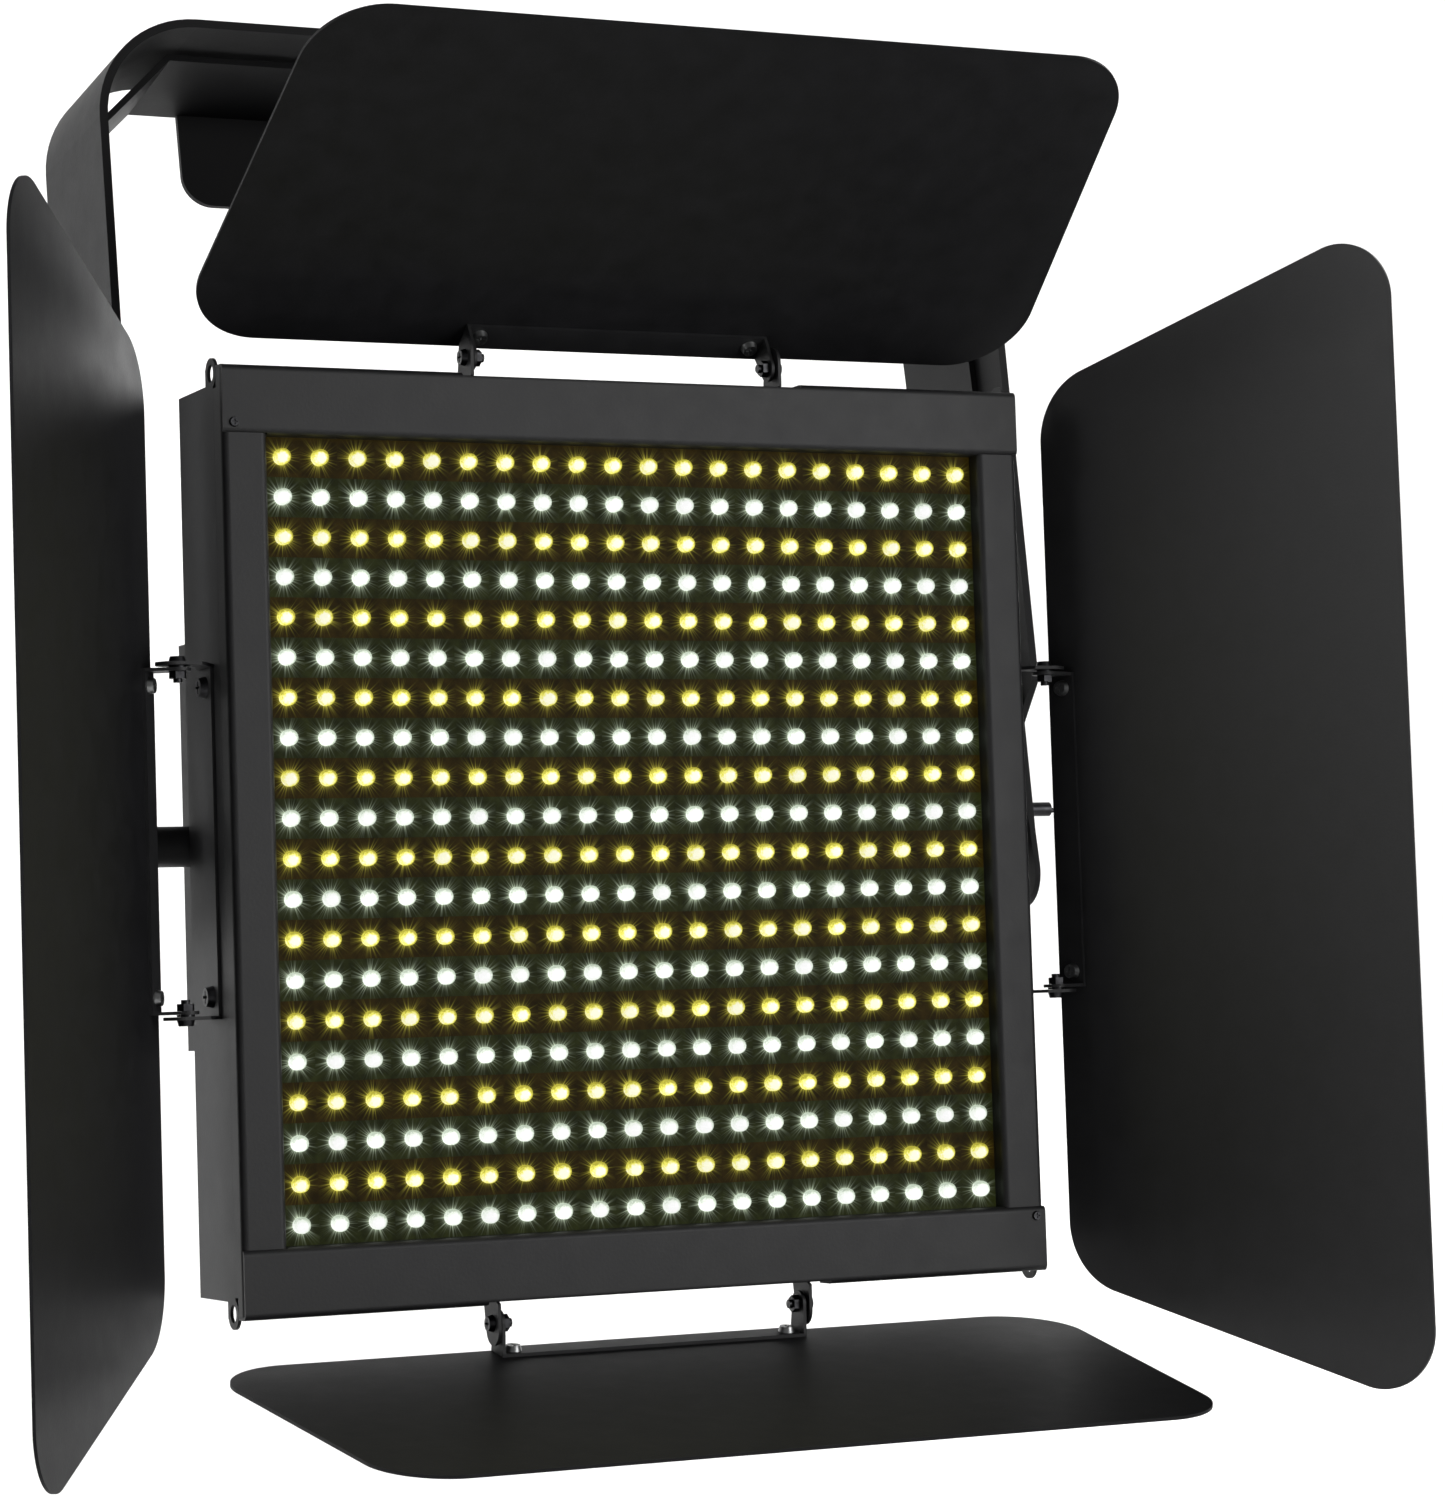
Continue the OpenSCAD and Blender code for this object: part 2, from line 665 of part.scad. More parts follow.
// A round three-pole data socket in a square flange.
module data_socket(x, male) {
    color(fitting) head() translate([x, box_back, fitting_z]) difference() {
        union() {
            plate_y(0, 2) round_rect(26, 31, 3);
            translate([0, -18, 0]) rod_y(22, 20);
        }
        translate([0, -12, 0]) if (male) rod_y(18, 20);
        else for (a = [90, 210, 330]) rotate([0, a, 0]) translate([4.5, 0, 0]) rod_y(3, 20);
    }
    if (male) color(steel) head() translate([x, box_back, fitting_z])
        for (a = [90, 210, 330]) rotate([0, a, 0]) translate([4.5, -13, 0]) rod_y(2.4, 12);
}

module data_in() { data_socket(data_x[0], true); }
module data_out() { data_socket(data_x[1], false); }

// A push button whose flange stays behind the cover.
module push_button(i) {
    color("#3a3b3d") head() translate([button_x[i], 0, fitting_z]) {
        translate([0, box_back - cover_t - 2 - gap, 0]) rod_y(button_d + 4, 2);
        translate([0, box_back - cover_t - gap - eps, 0]) rod_y(button_d, cover_t + gap + 2.2);
    }
}

module menu_button() { push_button(0); }
module down_button() { push_button(1); }
module up_button() { push_button(2); }
module enter_button() { push_button(3); }

// A closed steel loop for a safety cable, bolted above the box.
module safety_eye() {
    color(steel) head() translate([0, back_y, wall_z - 16]) {
        translate([0, -sheet - 4, 0]) rod_y(6, sheet + 6);
        rod_y(14, 2);
        translate([0, 13, 0]) rotate([0, 90, 0]) rotate_extrude() translate([9, 0]) circle(d = 5);
    }
}

// Door hinges ----------------------------------------------------------------------------------

// A fixed bracket: a base on the housing's wall and two ears that reach past the hinge line.
module hinge_bracket(side) {
    drop = side[2] - side[1];
    back = bracket_y + bracket_w;
    color(black) on_side(side) difference() {
        union() {
            block([-ear_half, bracket_y, -drop], [ear_half, back, -drop + bracket_t]);
            for (s = [-1, 1]) plate_x(s > 0 ? ear_half - bracket_t : -ear_half, s > 0 ? ear_half : -ear_half + bracket_t) {
                polygon([[bracket_y, -drop], [back, -drop], [back, -drop + 3], [bracket_y + 2.5, -drop + 7.5],
                         [boss_r, boss_rise], [-boss_r, boss_rise], [-boss_r, -end_hinge_out]]);
                translate([0, boss_rise]) circle(boss_r);
            }
        }
        translate([-ear_half - 1, 0, 0]) rod_x(pin_d + 2 * run, 2 * ear_half + 2);
        both_x(screw_x) translate([0, bracket_y + bracket_w / 2, -drop - 1])
            cylinder(d = wall_screw_d + 2 * run, h = bracket_t + 2);
    }
}

// The screws and nuts that hold the four brackets to the housing, two to each bracket.
module bracket_screws() {
    color(steel) for (side = [TOP, BOTTOM, RIGHT, LEFT]) on_side(side) {
        drop = side[2] - side[1];
        both_x(screw_x) translate([0, bracket_y + bracket_w / 2, -drop]) {
            translate([0, 0, bracket_t]) pan_screw(wall_screw_d, 9, 10, 3.4);
            translate([0, 0, -sheet]) mirror([0, 0, 1]) nut(wall_screw_d);
        }
    }
}

// The moving strip, screwed to the inside of a door, with ears between the bracket's ears.
module hinge_strip(side, angle) {
    seat = door_offset - door_t / 2;
    low = seat - bracket_t;
    half = ear_half - bracket_t - ear_washer;
    tip_r = 6;
    color(black) on_door(side, angle) difference() {
        union() {
            block([-half, -strip_w + door_back - 0.5, low], [half, door_back - 0.5, seat]);
            for (s = [-1, 1]) plate_x(s > 0 ? half - bracket_t : -half, s > 0 ? half : -half + bracket_t) {
                polygon([[-tip_r, 0], [tip_r, 0], [door_back - 0.5, seat], [-strip_w + door_back - 0.5, seat]]);
                circle(tip_r);
            }
        }
        translate([-half - 1, 0, 0]) rod_x(pin_d + 2 * run, 2 * half + 2);
        both_x(screw_x) translate([0, strip_screw_y, low - 1]) cylinder(d = door_screw_d + 2 * run, h = bracket_t + 2);
    }
}

// Each hinge line's two pins: a screw from outside, a washer between the ears and a nut inside.
module hinge_pins(side) {
    inside = ear_half - 2 * bracket_t - ear_washer;
    color(steel) on_side(side) for (s = [-1, 1]) rotate([0, 0, s > 0 ? 0 : 180]) {
        translate([ear_half, 0, 0]) rotate([0, 90, 0]) pan_screw(pin_d, 9, 8, 2.6);
        translate([ear_half - bracket_t - ear_washer + 0.05, 0, 0]) difference() {
            rod_x(2 * pin_d, ear_washer - 0.1);
            translate([-1, 0, 0]) rod_x(pin_d + 2 * run, ear_washer + 2);
        }
        translate([inside - 0.05, 0, 0]) rotate([0, -90, 0]) nut(pin_d);
    }
}

// A door's sheet, with the holes for its strip's screws.
module door(side, angle, half_in, half_out, tip_r) {
    color(black) on_door(side, angle) difference() {
        translate([0, 0, door_offset - door_t / 2]) linear_extrude(door_t)
            round_outline([[-half_in, door_back], [half_in, door_back],
                           [half_out, door_back - door_len], [-half_out, door_back - door_len]],
                          [door_corner_r, door_corner_r, tip_r, tip_r]);
        both_x(screw_x) translate([0, strip_screw_y, door_offset - 5]) cylinder(d = door_screw_d + 2 * run, h = 10);
    }
}

module end_door(side, angle) {
    half_in = panel_w / 2 + end_door_lap;
    door(side, angle, half_in, half_in - end_door_taper, door_corner_r);
}

module side_door(side, angle) {
    half_in = panel_h / 2 + side_door_lap;
    door(side, angle, half_in, half_in + side_door_flare, side_tip_r);
}

// Two screws through the strip and the door, with nuts on the door's outside.
module strip_screws(side, angle) {
    color(steel) on_door(side, angle) both_x(screw_x) translate([0, strip_screw_y, door_offset]) {
        translate([0, 0, -door_t / 2 - bracket_t]) mirror([0, 0, 1])
            pan_screw(door_screw_d, 2 * door_t + bracket_t + 3, 8, 2.6);
        translate([0, 0, door_t / 2]) nut(door_screw_d);
    }
}

module hinge_bracket_top() { hinge_bracket(TOP); }
module hinge_bracket_bottom() { hinge_bracket(BOTTOM); }
module hinge_bracket_left() { hinge_bracket(LEFT); }
module hinge_bracket_right() { hinge_bracket(RIGHT); }
module hinge_pins_top() { hinge_pins(TOP); }
module hinge_pins_bottom() { hinge_pins(BOTTOM); }
module hinge_pins_left() { hinge_pins(LEFT); }
module hinge_pins_right() { hinge_pins(RIGHT); }
module door_top() { end_door(TOP, top_angle); }
module door_bottom() { end_door(BOTTOM, bottom_angle); }
module door_left() { side_door(LEFT, left_angle); }
module door_right() { side_door(RIGHT, right_angle); }
module hinge_strip_top() { hinge_strip(TOP, top_angle); }
module hinge_strip_bottom() { hinge_strip(BOTTOM, bottom_angle); }
module hinge_strip_left() { hinge_strip(LEFT, left_angle); }
module hinge_strip_right() { hinge_strip(RIGHT, right_angle); }
module strip_screws_top() { strip_screws(TOP, top_angle); }
module strip_screws_bottom() { strip_screws(BOTTOM, bottom_angle); }
module strip_screws_left() { strip_screws(LEFT, left_angle); }
module strip_screws_right() { strip_screws(RIGHT, right_angle); }
module lock_screw_left() { lock_screw(-1); }
module lock_screw_right() { lock_screw(1); }

outer_yoke();
inner_yoke();
lock_screw_left();
lock_screw_right();
side_plate_left();
side_plate_right();
housing_tray();
bezel_top();
bezel_bottom();
bezel_left();
bezel_right();
bezel_screws();
led_board();
cool_leds();
warm_leds();
heat_sink();
board_posts();
rear_box();
rear_cover();
cover_screws();
power_supply();
driver_board();
display();
power_inlet();
power_outlet();
fuse_holder();
data_in();
data_out();
safety_eye();
menu_button();
down_button();
up_button();
enter_button();
tilt_posts();
tilt_bolts();
tilt_washers();
hinge_bracket_top();
hinge_bracket_bottom();
hinge_bracket_left();
hinge_bracket_right();
hinge_pins_top();
hinge_pins_bottom();
hinge_pins_left();
hinge_pins_right();
bracket_screws();
door_top();
door_bottom();
door_left();
door_right();
hinge_strip_top();
hinge_strip_bottom();
hinge_strip_left();
hinge_strip_right();
strip_screws_top();
strip_screws_bottom();
strip_screws_left();
strip_screws_right();
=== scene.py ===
import math

import bmesh
import bpy
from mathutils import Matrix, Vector


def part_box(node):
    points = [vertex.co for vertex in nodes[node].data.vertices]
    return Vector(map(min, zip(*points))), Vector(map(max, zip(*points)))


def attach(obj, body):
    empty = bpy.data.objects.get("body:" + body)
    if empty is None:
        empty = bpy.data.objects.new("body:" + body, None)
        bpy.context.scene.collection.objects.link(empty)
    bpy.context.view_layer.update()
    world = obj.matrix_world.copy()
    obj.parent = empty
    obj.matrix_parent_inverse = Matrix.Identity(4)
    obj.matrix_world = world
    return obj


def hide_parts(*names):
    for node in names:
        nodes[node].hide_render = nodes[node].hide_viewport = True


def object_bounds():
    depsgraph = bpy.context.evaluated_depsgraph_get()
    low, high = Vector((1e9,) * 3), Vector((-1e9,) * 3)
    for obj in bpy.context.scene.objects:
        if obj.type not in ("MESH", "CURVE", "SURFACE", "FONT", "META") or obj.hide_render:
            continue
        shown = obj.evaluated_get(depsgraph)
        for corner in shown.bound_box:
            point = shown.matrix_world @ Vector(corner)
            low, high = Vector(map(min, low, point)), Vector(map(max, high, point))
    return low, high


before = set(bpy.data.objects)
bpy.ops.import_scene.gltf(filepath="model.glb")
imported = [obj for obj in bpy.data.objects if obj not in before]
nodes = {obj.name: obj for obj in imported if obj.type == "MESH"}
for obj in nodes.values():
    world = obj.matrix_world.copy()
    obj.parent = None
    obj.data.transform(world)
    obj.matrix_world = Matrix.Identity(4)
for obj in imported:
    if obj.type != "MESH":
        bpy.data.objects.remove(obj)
cad_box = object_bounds()
MM = 0.001


# Places and sizes, worked out from the frame ----------------------------------------------------

def middle(node):
    low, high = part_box(node)
    return (low + high) / 2


def size(node):
    low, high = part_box(node)
    return high - low


LED_COUNT = 20                       # in each row, and rows
LED_RADIUS = 3.7 * MM
LED_PITCH = (size("warm_leds").x - 2 * LED_RADIUS) / (LED_COUNT - 1)
FIELD = middle("led_board")          # middle of the LED field, in X and Z
BOARD_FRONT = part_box("led_board")[0].y
LED_HEIGHT = BOARD_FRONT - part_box("warm_leds")[0].y
SIDES = ("top", "bottom", "left", "right")


# Materials --------------------------------------------------------------------------------------

def linear(code):
    """The linear colour of an sRGB hex code such as "1c1c1e"."""
    parts = [int(code[i:i + 2], 16) / 255 for i in (0, 2, 4)]
    return (*(c / 12.92 if c <= 0.04045 else ((c + 0.055) / 1.055) ** 2.4 for c in parts), 1.0)


def add(tree, kind, **inputs):
    """Adds a node. A keyword sets or links a socket by its label or, as _0 or _1, by its index.

    A keyword that starts with set_ names a setting of the node itself."""
    node = tree.nodes.new("ShaderNode" + kind)
    for key, value in inputs.items():
        if key.startswith("set_"):
            setattr(node, key[4:], value)
            continue
        socket = node.inputs[int(key[1:])] if key[0] == "_" else node.inputs[key.replace("_", " ")]
        if isinstance(value, bpy.types.NodeSocket):
            tree.links.new(value, socket)
        else:
            socket.default_value = value
    return node


def ramp(tree, factor, stops):
    """A colour ramp through (position, colour) stops."""
    node = add(tree, "ValToRGB", Fac=factor)
    band = node.color_ramp.elements
    while len(band) < len(stops):
        band.new(0.5)
    for mark, (position, colour) in zip(band, stops):
        mark.position = position
        mark.color = colour
    return node.outputs["Color"]


def new_material(name, **shader):
    """A material with a Principled shader, and the object's own coordinates in metres."""
    material = bpy.data.materials.new(name)
    material.use_nodes = True
    tree = material.node_tree
    surface = tree.nodes["Principled BSDF"]
    for key, value in shader.items():
        surface.inputs[key.replace("_", " ")].default_value = value
    place = add(tree, "TexCoord").outputs["Object"]
    return material, tree, surface, place


def link(tree, output, surface, socket):
    tree.links.new(output, surface.inputs[socket])


def powder_coat(name, colour, worn, shine=0.4):
    """Polyester powder baked on steel: a satin black with a fine orange peel and slight clouding."""
    peel_width, peel_depth, cloud_width = 1.1 * MM, 0.05 * MM, 14 * MM
    material, tree, surface, place = new_material(name, Specular_IOR_Level=shine, IOR=1.5)
    clouds = add(tree, "TexNoise", Vector=place, Scale=1 / cloud_width, Detail=4.0, Roughness=0.6)
    speck = add(tree, "TexNoise", Vector=place, Scale=1 / peel_width, Detail=2.0, Roughness=0.6)
    clouds, speck = clouds.outputs["Fac"], speck.outputs["Fac"]
    tone = add(tree, "Math", _0=clouds, _1=0.7, set_operation="MULTIPLY").outputs[0]
    tone = add(tree, "Math", _0=speck, _1=0.3, _2=tone, set_operation="MULTIPLY_ADD").outputs[0]
    link(tree, ramp(tree, tone, [(0.3, linear(colour)), (0.8, linear(worn))]), surface, "Base Color")
    rough = add(tree, "MapRange", Value=tone, From_Min=0.3, From_Max=0.7, To_Min=0.50, To_Max=0.58)
    link(tree, rough.outputs[0], surface, "Roughness")
    peel = add(tree, "TexVoronoi", Vector=place, Scale=1 / (1.4 * peel_width)).outputs["Distance"]
    height = add(tree, "Math", _0=peel, _1=speck, set_operation="ADD").outputs[0]
    bump = add(tree, "Bump", Height=height, Strength=0.35, Distance=peel_depth)
    link(tree, bump.outputs[0], surface, "Normal")
    return material


def plated_steel(name, colour, roughness):
    """Plated or oxidised steel: a dull metallic shine, fine clouds and turning marks.

    The marks are drawn 0.4 mm apart, coarser than real ones, so that they show."""
    material, tree, surface, place = new_material(name, Metallic=1.0)
    clouds = add(tree, "TexNoise", Vector=place, Scale=1 / (2.5 * MM), Detail=4.0).outputs["Fac"]
    dark = tuple(c * 0.6 for c in linear(colour)[:3]) + (1.0,)
    link(tree, ramp(tree, clouds, [(0.3, dark), (0.7, linear(colour))]), surface, "Base Color")
    rough = add(tree, "MapRange", Value=clouds, To_Min=roughness + 0.12, To_Max=roughness - 0.08)
    link(tree, rough.outputs[0], surface, "Roughness")
    marks = add(tree, "TexNoise", Vector=place, Scale=1 / (0.4 * MM), Detail=1.0).outputs["Fac"]
    bump = add(tree, "Bump", Height=marks, Strength=0.25, Distance=0.03 * MM)
    link(tree, bump.outputs[0], surface, "Normal")
    return material


def raw_aluminium(name):
    """Extruded aluminium with the die's fine lines running along Z."""
    material, tree, surface, place = new_material(name, Metallic=1.0)
    stretch = add(tree, "Mapping", Vector=place, Scale=(1.0, 1.0, 0.02)).outputs[0]
    lines = add(tree, "TexNoise", Vector=stretch, Scale=1 / (0.8 * MM), Detail=3.0).outputs["Fac"]
    link(tree, ramp(tree, lines, [(0.25, linear("8f9294")), (0.8, linear("c9cbcc"))]), surface, "Base Color")
    rough = add(tree, "MapRange", Value=lines, To_Min=0.3, To_Max=0.5)
    link(tree, rough.outputs[0], surface, "Roughness")
    bump = add(tree, "Bump", Height=lines, Strength=0.3, Distance=0.05 * MM)
    link(tree, bump.outputs[0], surface, "Normal")
    return material


def moulded_plastic(name, colour, roughness):
    """Injection-moulded plastic with the spark-eroded grain of its mould, drawn coarse enough to show."""
    material, tree, surface, place = new_material(name, IOR=1.5)
    grains = add(tree, "TexVoronoi", Vector=place, Scale=1 / (0.7 * MM)).outputs["Distance"]
    clouds = add(tree, "TexNoise", Vector=place, Scale=1 / (9 * MM), Detail=2.0).outputs["Fac"]
    light = tuple(min(1, c * 1.5) for c in linear(colour)[:3]) + (1.0,)
    link(tree, ramp(tree, clouds, [(0.3, linear(colour)), (0.75, light)]), surface, "Base Color")
    rough = add(tree, "MapRange", Value=clouds, To_Min=roughness - 0.06, To_Max=roughness + 0.08)
    link(tree, rough.outputs[0], surface, "Roughness")
    bump = add(tree, "Bump", Height=grains, Strength=0.3, Distance=0.04 * MM)
    link(tree, bump.outputs[0], surface, "Normal")
    return material


def tinted_window(name):
    """The dark green window of a small liquid crystal display, with its two faint rows of cells."""
    material, tree, surface, place = new_material(name, IOR=1.5, Roughness=0.08, Coat_Weight=1.0)
    flat = add(tree, "Mapping", Vector=place, Rotation=(math.pi / 2, 0, 0)).outputs[0]
    cells = add(tree, "TexBrick", Vector=flat, Scale=1.0,
                Color1=linear("123a3c"), Color2=linear("163f40"), Mortar=linear("0a2426"),
                Brick_Width=2.6 * MM, Row_Height=5 * MM, Mortar_Size=0.3 * MM, set_offset=0.0)
    link(tree, cells.outputs["Color"], surface, "Base Color")
    return material


class LedCell:
    """Where a point lies in its LED's square of the field, in metres, with the square's row and column."""

    def __init__(self, tree, place):
        def number(operation, a, b=0.0):
            return add(tree, "Math", _0=a, _1=b, set_operation=operation).outputs[0]

        split = add(tree, "SeparateXYZ", Vector=place)
        half = LED_COUNT / 2 * LED_PITCH
        across = number("DIVIDE", number("SUBTRACT", split.outputs["X"], FIELD.x - half), LED_PITCH)
        down = number("DIVIDE", number("SUBTRACT", FIELD.z + half, split.outputs["Z"]), LED_PITCH)
        self.column, self.row = number("FLOOR", across), number("FLOOR", down)
        self.x = number("MULTIPLY", number("SUBTRACT", number("FRACT", across), 0.5), LED_PITCH)
        self.z = number("MULTIPLY", number("SUBTRACT", 0.5, number("FRACT", down)), LED_PITCH)
        square = number("ADD", number("MULTIPLY", self.x, self.x), number("MULTIPLY", self.z, self.z))
        self.radius = number("SQRT", square)
        self.angle = number("ARCTAN2", self.z, self.x)
        self.cool = number("MODULO", self.row, 2.0)          # 0 in a warm row, 1 in a cool one
        self.number = number


def glowing_lens(name, core, body, rim, strength):
    """Clear epoxy over a lit chip: a burnt-out patch beside the middle, a coloured body, small glints."""
    material, tree, surface, place = new_material(name, IOR=1.5, Roughness=0.1, Base_Color=linear("181814"))
    cell = LedCell(tree, place)
    n = cell.number
    chip_x, chip_z = n("ADD", cell.x, 1.0 * MM), n("ADD", cell.z, 0.7 * MM)
    away = n("SQRT", n("ADD", n("MULTIPLY", chip_x, chip_x), n("MULTIPLY", chip_z, chip_z)))
    cells = add(tree, "CombineXYZ", X=cell.column, Y=cell.row)
    own = add(tree, "TexWhiteNoise", Vector=cells.outputs[0]).outputs["Value"]
    glints = add(tree, "TexNoise", Vector=place, Scale=1 / (1.1 * MM), Detail=1.0).outputs["Fac"]
    uneven = n("MULTIPLY", n("SUBTRACT", glints, 0.5), 0.55)
    size_of_own = n("MULTIPLY", n("SUBTRACT", own, 0.5), 0.12)
    tone = n("ADD", n("ADD", n("DIVIDE", away, LED_RADIUS), uneven), size_of_own)
    stops = [(0.0, linear(core)), (0.5, linear(core)), (0.78, linear(body)), (1.0, linear(rim))]
    link(tree, ramp(tree, tone, stops), surface, "Emission Color")
    power = add(tree, "MapRange", Value=own, To_Min=strength * 0.86, To_Max=strength * 1.1).outputs[0]
    link(tree, power, surface, "Emission Strength")
    return material


def lit_board(name):
    """Dark solder mask with painted LED light: emission paints fine rays and a halo round each lens over a
    brownish or greenish glow, warm or cool row by row; the mask's own colour is near black.
    """
    material, tree, surface, place = new_material(name, IOR=1.5, Roughness=0.6, Specular_IOR_Level=0.05,
                                                  Base_Color=linear("070706"))
    cell = LedCell(tree, place)
    n = cell.number
    turns = add(tree, "CombineXYZ", X=n("MULTIPLY", n("COSINE", cell.angle), 3.4),
                Y=n("MULTIPLY", n("SINE", cell.angle), 3.4),
                Z=n("ADD", n("MULTIPLY", cell.row, 7.3), n("MULTIPLY", cell.column, 3.1)))
    streaks = add(tree, "TexNoise", Vector=turns.outputs[0], Scale=3.3, Detail=1.0, Roughness=0.5)
    rays = add(tree, "MapRange", Value=streaks.outputs["Fac"], From_Min=0.5, From_Max=0.66, set_clamp=True)
    rays = rays.outputs[0]
    out = n("MAXIMUM", n("DIVIDE", n("SUBTRACT", cell.radius, LED_RADIUS), 1 * MM), 0.0)
    # Painted light, each part falling off with the distance from the lens, in millimetres: the rays slowly,
    # the halo fast.
    beam = n("MULTIPLY", n("MULTIPLY", rays, n("POWER", 2.718, n("MULTIPLY", -0.6, out))), 0.75)
    halo = n("MULTIPLY", n("POWER", 2.718, n("MULTIPLY", -1.3, out)), 0.35)
    blend = add(tree, "Mix", set_data_type="RGBA", Factor=cell.cool,
                _6=linear("c2ba48"), _7=linear("ccdcc0")).outputs[2]
    # Painted glow of the LEDs' light over the whole board, brownish in warm rows and greenish in cool ones,
    # in random patches.
    ground_glow_tint = add(tree, "Mix", set_data_type="RGBA", Factor=cell.cool,
                 _6=linear("241b05"), _7=linear("20240e")).outputs[2]
    blotch = add(tree, "TexNoise", Vector=place, Scale=1 / (5 * MM), Detail=2.0).outputs["Fac"]
    glow_patches = add(tree, "MapRange", Value=blotch, From_Min=0.3, From_Max=0.7, To_Min=0.6, To_Max=1.3).outputs[0]
    low = add(tree, "VectorMath", _0=ground_glow_tint, set_operation="SCALE", Scale=glow_patches).outputs[0]
    shine = n("ADD", beam, halo)
    glow = add(tree, "VectorMath", _0=blend, set_operation="SCALE", Scale=shine).outputs[0]
    total = add(tree, "VectorMath", _0=low, _1=glow, set_operation="ADD").outputs[0]
    # All of this is painted light, given out as emission by a board that is no lamp.
    link(tree, total, surface, "Emission Color")
    surface.inputs["Emission Strength"].default_value = 1.0
    return material


def circuit_board(name):
    """Green-black solder mask with copper tracks showing through as a faint grid."""
    material, tree, surface, place = new_material(name, IOR=1.5, Roughness=0.4)
    flat = add(tree, "Mapping", Vector=place, Rotation=(math.pi / 2, 0, 0)).outputs[0]
    tracks = add(tree, "TexBrick", Vector=flat, Scale=1.0,
                 Color1=linear("12281c"), Color2=linear("163020"), Mortar=linear("24472f"),
                 Brick_Width=9 * MM, Row_Height=3 * MM, Mortar_Size=0.4 * MM)
    link(tree, tracks.outputs["Color"], surface, "Base Color")
    return material


COAT = powder_coat("powder_coat", "0f0f10", "1f1f21")
DOOR_COAT = powder_coat("door_powder_coat", "101011", "1d1d1f", shine=0.13)
YOKE_COAT = powder_coat("yoke_powder_coat", "0a0a0b", "131315", shine=0.2)
ZINC = plated_steel("zinc_plating", "9b9c9c", 0.34)
BLACK_STEEL = plated_steel("black_oxide_steel", "3c3c3e", 0.38)
ALUMINIUM = raw_aluminium("extruded_aluminium")
NYLON = moulded_plastic("moulded_nylon", "141415", 0.5)
BUTTON = moulded_plastic("button_plastic", "3b3c3e", 0.42)
WINDOW = tinted_window("display_window")
BOARD = lit_board("lit_solder_mask")
CIRCUIT = circuit_board("driver_solder_mask")
WARM = glowing_lens("warm_lens", "fffde0", "f0ea66", "aca43a", 1.1)
COOL = glowing_lens("cool_lens", "ffffff", "eef6ea", "b9c6b4", 1.1)

FINISHES = {
    YOKE_COAT: "outer_yoke inner_yoke",
    COAT: "side_plate_left side_plate_right housing_tray bezel_top bezel_bottom bezel_left "
          "bezel_right rear_box rear_cover tilt_posts",
    ZINC: "safety_eye strip_screws_top strip_screws_bottom strip_screws_left strip_screws_right",
    BLACK_STEEL: "bezel_screws cover_screws tilt_bolts tilt_washers bracket_screws lock_screw_left "
                 "lock_screw_right hinge_pins_top hinge_pins_bottom hinge_pins_left hinge_pins_right",
    ALUMINIUM: "heat_sink board_posts power_supply",
    NYLON: "power_inlet power_outlet fuse_holder data_in data_out",
    BUTTON: "menu_button down_button up_button enter_button",
    WINDOW: "display",
    BOARD: "led_board",
    CIRCUIT: "driver_board",
}


def coat(node, finish):
    """Gives a whole node of the frame one finish."""
    nodes[node].data.materials.clear()
    nodes[node].data.materials.append(finish)


for finish, names in FINISHES.items():
    for name in names.split():
        coat(name, finish)
for side in SIDES:
    coat("door_" + side, COAT if side == "right" else DOOR_COAT)
    coat("hinge_strip_" + side, COAT)
    coat("hinge_bracket_" + side, COAT)


# Pieces -----------------------------------------------------------------------------------------

def piece(name, mesh, body, slot, material, *stands_for):
    """Puts a finished mesh in the scene, riding on a body of the frame."""
    mesh.materials.append(material)
    obj = bpy.data.objects.new(name, mesh)
    bpy.context.scene.collection.objects.link(obj)
    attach(obj, body)
    if stands_for:
        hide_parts(*stands_for)
    return obj


def led_lenses(name, first_row, slot, material, node):
    """Every second row of LEDs: a barrel that stands on the board, with a domed tip."""
    mesh = bpy.data.meshes.new(name)
    bm = bmesh.new()
    steps, bands, r = 18, 6, LED_RADIUS
    turn = [2 * math.pi * k / steps for k in range(steps)]
    climb = [math.pi / 2 * i / bands for i in range(bands)]
    dome = [(r * math.cos(a), LED_HEIGHT - r + r * math.sin(a)) for a in climb]
    profile = [(r, 0.0), (r, 0.3 * MM)] + dome
    for row in range(first_row, LED_COUNT, 2):
        for column in range(LED_COUNT):
            x = FIELD.x + (column - (LED_COUNT - 1) / 2) * LED_PITCH
            z = FIELD.z + ((LED_COUNT - 1) / 2 - row) * LED_PITCH
            rings = [[bm.verts.new((x + radius * math.cos(a), BOARD_FRONT - height, z + radius * math.sin(a)))
                      for a in turn] for radius, height in profile]
            tip = bm.verts.new((x, BOARD_FRONT - LED_HEIGHT, z))
            bm.faces.new(rings[0])
            for a, b in zip(rings, rings[1:]):
                for k in range(steps):
                    bm.faces.new((a[k], a[(k + 1) % steps], b[(k + 1) % steps], b[k]))
            for k in range(steps):
                bm.faces.new((rings[-1][k], rings[-1][(k + 1) % steps], tip))
    for face in bm.faces:
        face.smooth = True
    bmesh.ops.recalc_face_normals(bm, faces=bm.faces)
    bm.to_mesh(mesh)
    bm.free()
    return piece(name, mesh, "head", slot, material, node)


led_lenses("warm_lenses", 0, "warm_lens", WARM, "warm_leds")
led_lenses("cool_lenses", 1, "cool_lens", COOL, "cool_leds")


# Floor, light and camera ------------------------------------------------------------------------

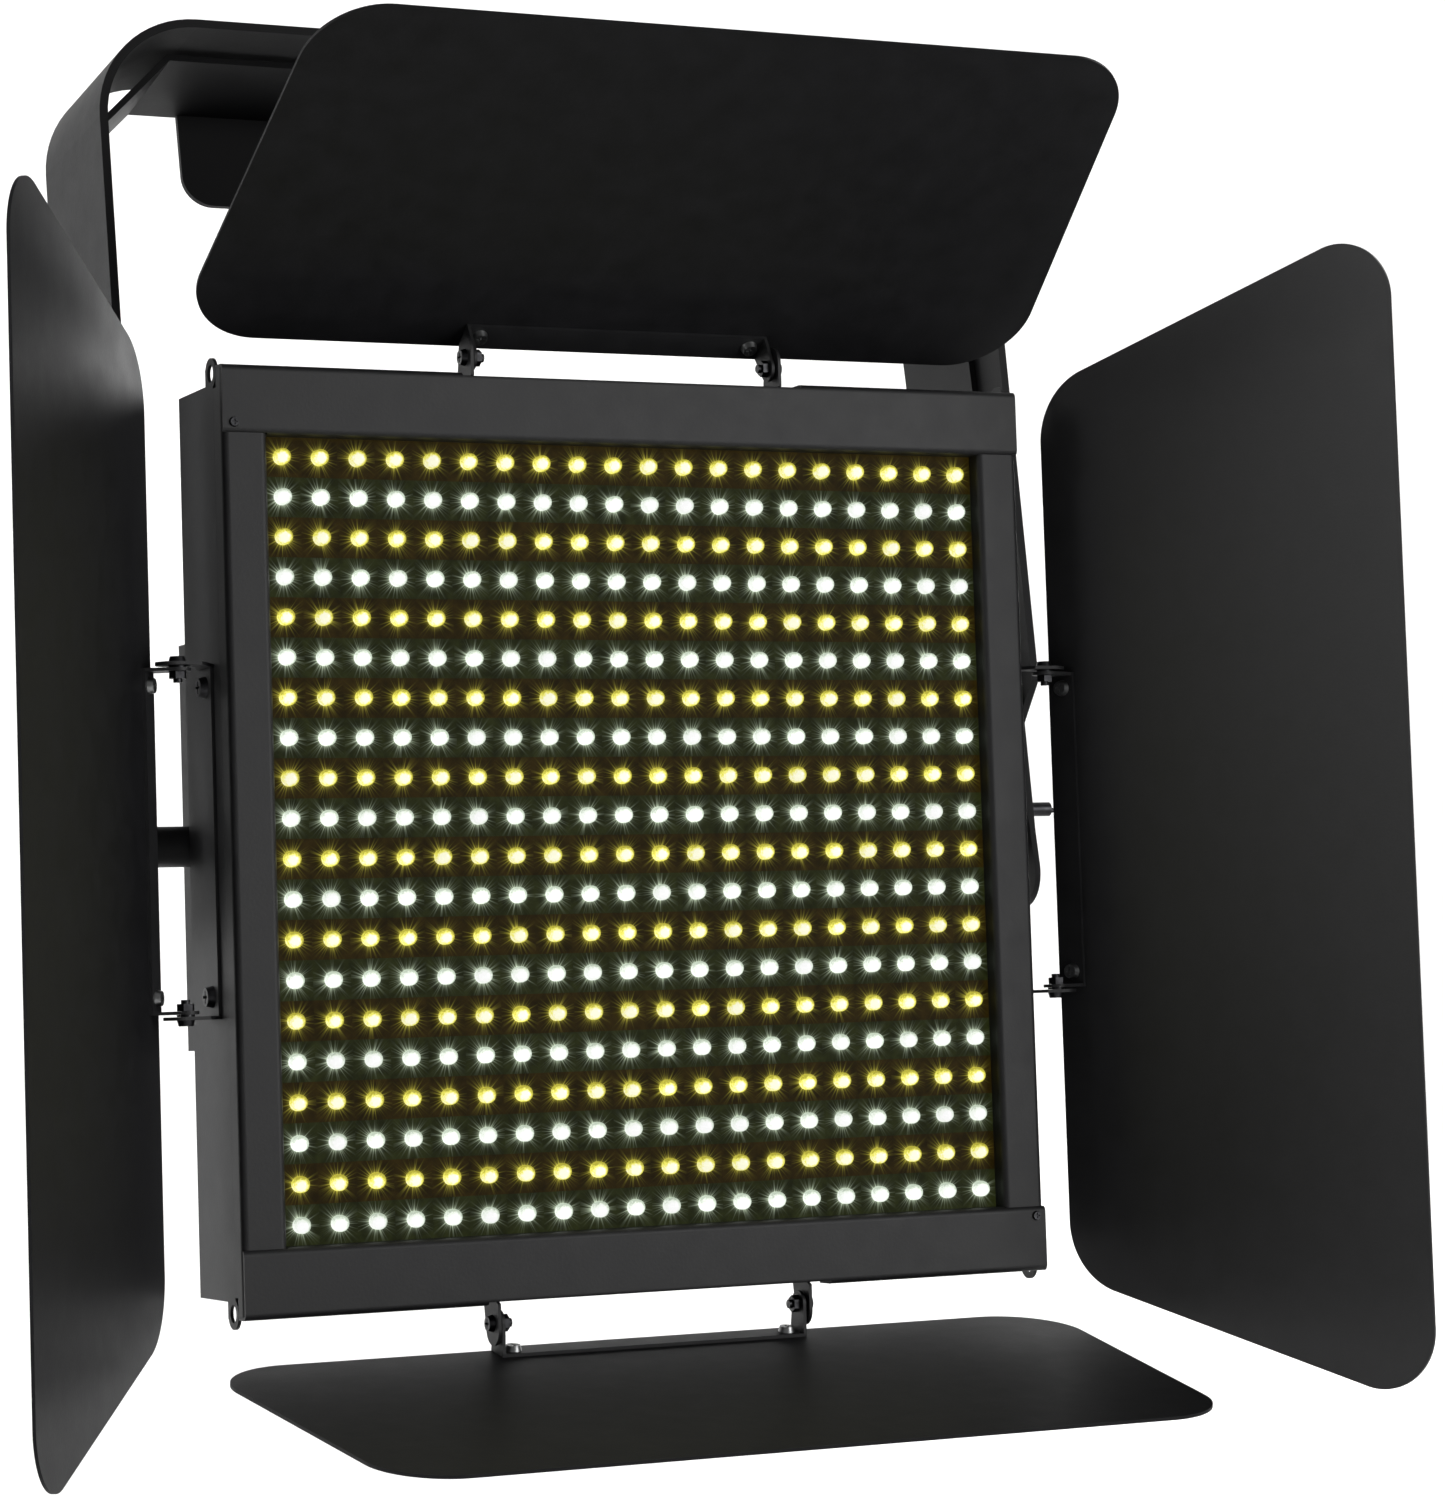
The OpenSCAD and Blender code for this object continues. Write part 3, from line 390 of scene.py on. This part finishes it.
def studio_floor():
    """A wide sheet of pale paper that curves up into the backdrop behind the light."""
    low = cad_box[0][2] - 0.35                         # the light hangs, with its door clear of the floor
    mesh = bpy.data.meshes.new("paper_floor")
    bm = bmesh.new()
    reach, bend_at, bend_r, top, bands = 9.0, 2.6, 1.4, 7.0, 12
    bend = [math.pi / 2 * i / bands for i in range(1, bands + 1)]
    run = [(-reach, 0.0), (bend_at, 0.0)]
    run += [(bend_at + bend_r * math.sin(a), bend_r - bend_r * math.cos(a)) for a in bend]
    run += [(bend_at + bend_r, top)]
    rows = [[bm.verts.new((x, y, low + z)) for x in (-reach, reach)] for y, z in run]
    for a, b in zip(rows, rows[1:]):
        bm.faces.new((a[0], a[1], b[1], b[0])).smooth = True
    bm.to_mesh(mesh)
    bm.free()
    paper, tree, surface, place = new_material("pale_paper", Roughness=0.9)
    fibres = add(tree, "TexNoise", Vector=place, Scale=40.0, Detail=3.0).outputs["Fac"]
    link(tree, ramp(tree, fibres, [(0.3, linear("fbfbfa")), (0.7, linear("ffffff"))]), surface, "Base Color")
    mesh.materials.append(paper)
    floor = bpy.data.objects.new("paper_floor", mesh)
    bpy.context.scene.collection.objects.link(floor)


def soft_light(name, place, target, width, height, power):
    """A rectangular softbox in metres and watts, turned towards its target."""
    data = bpy.data.lights.new(name, "AREA")
    data.shape, data.size, data.size_y, data.energy = "RECTANGLE", width, height, power
    lamp = bpy.data.objects.new(name, data)
    lamp.location = place
    lamp.rotation_euler = (Vector(target) - Vector(place)).to_track_quat("-Z", "Y").to_euler()
    bpy.context.scene.collection.objects.link(lamp)
    return lamp


def long_lens_camera():
    """A long lens in front of the light, to its left and level with the LED field."""
    data = bpy.data.cameras.new("camera")
    data.sensor_fit, data.sensor_width, data.sensor_height = "VERTICAL", 36.0, 36.0
    data.lens = 102.5
    data.shift_y = -0.0171
    data.clip_end = 60.0
    camera = bpy.data.objects.new("camera", data)
    camera.rotation_euler = [math.radians(angle) for angle in (93.775, 1.859, -25.366)]
    front = Vector((FIELD.x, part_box("bezel_top")[0].y, FIELD.z))
    camera.location = front + Vector((-813.1, -1786.8, -80.4)) * MM
    bpy.context.scene.collection.objects.link(camera)
    bpy.context.scene.camera = camera


studio_floor()
long_lens_camera()
soft_light("left_softbox", (-3.0, -0.2, 0.8), (0, 0, -0.3), 1.6, 1.6, 60)
soft_light("right_softbox", (1.9, -3.0, 0.1), (0, 0, -0.4), 1.6, 1.8, 56)
soft_light("rear_softbox", (3.4, 2.4, 0.5), (0, 0, -0.3), 1.6, 1.6, 55)
soft_light("backdrop_left", (-3.0, 1.2, 1.6), (-0.8, 4.0, 0.2), 2.0, 1.0, 60)
soft_light("backdrop_right", (3.0, 1.2, 1.6), (0.8, 4.0, 0.2), 2.0, 1.0, 60)
world = bpy.data.worlds.new("studio")
world.use_nodes = True
room = world.node_tree.nodes["Background"].inputs
room["Color"].default_value = linear("ffffff")
room["Strength"].default_value = 0.22
bpy.context.scene.world = world
bpy.context.scene.view_settings.view_transform = "Standard"
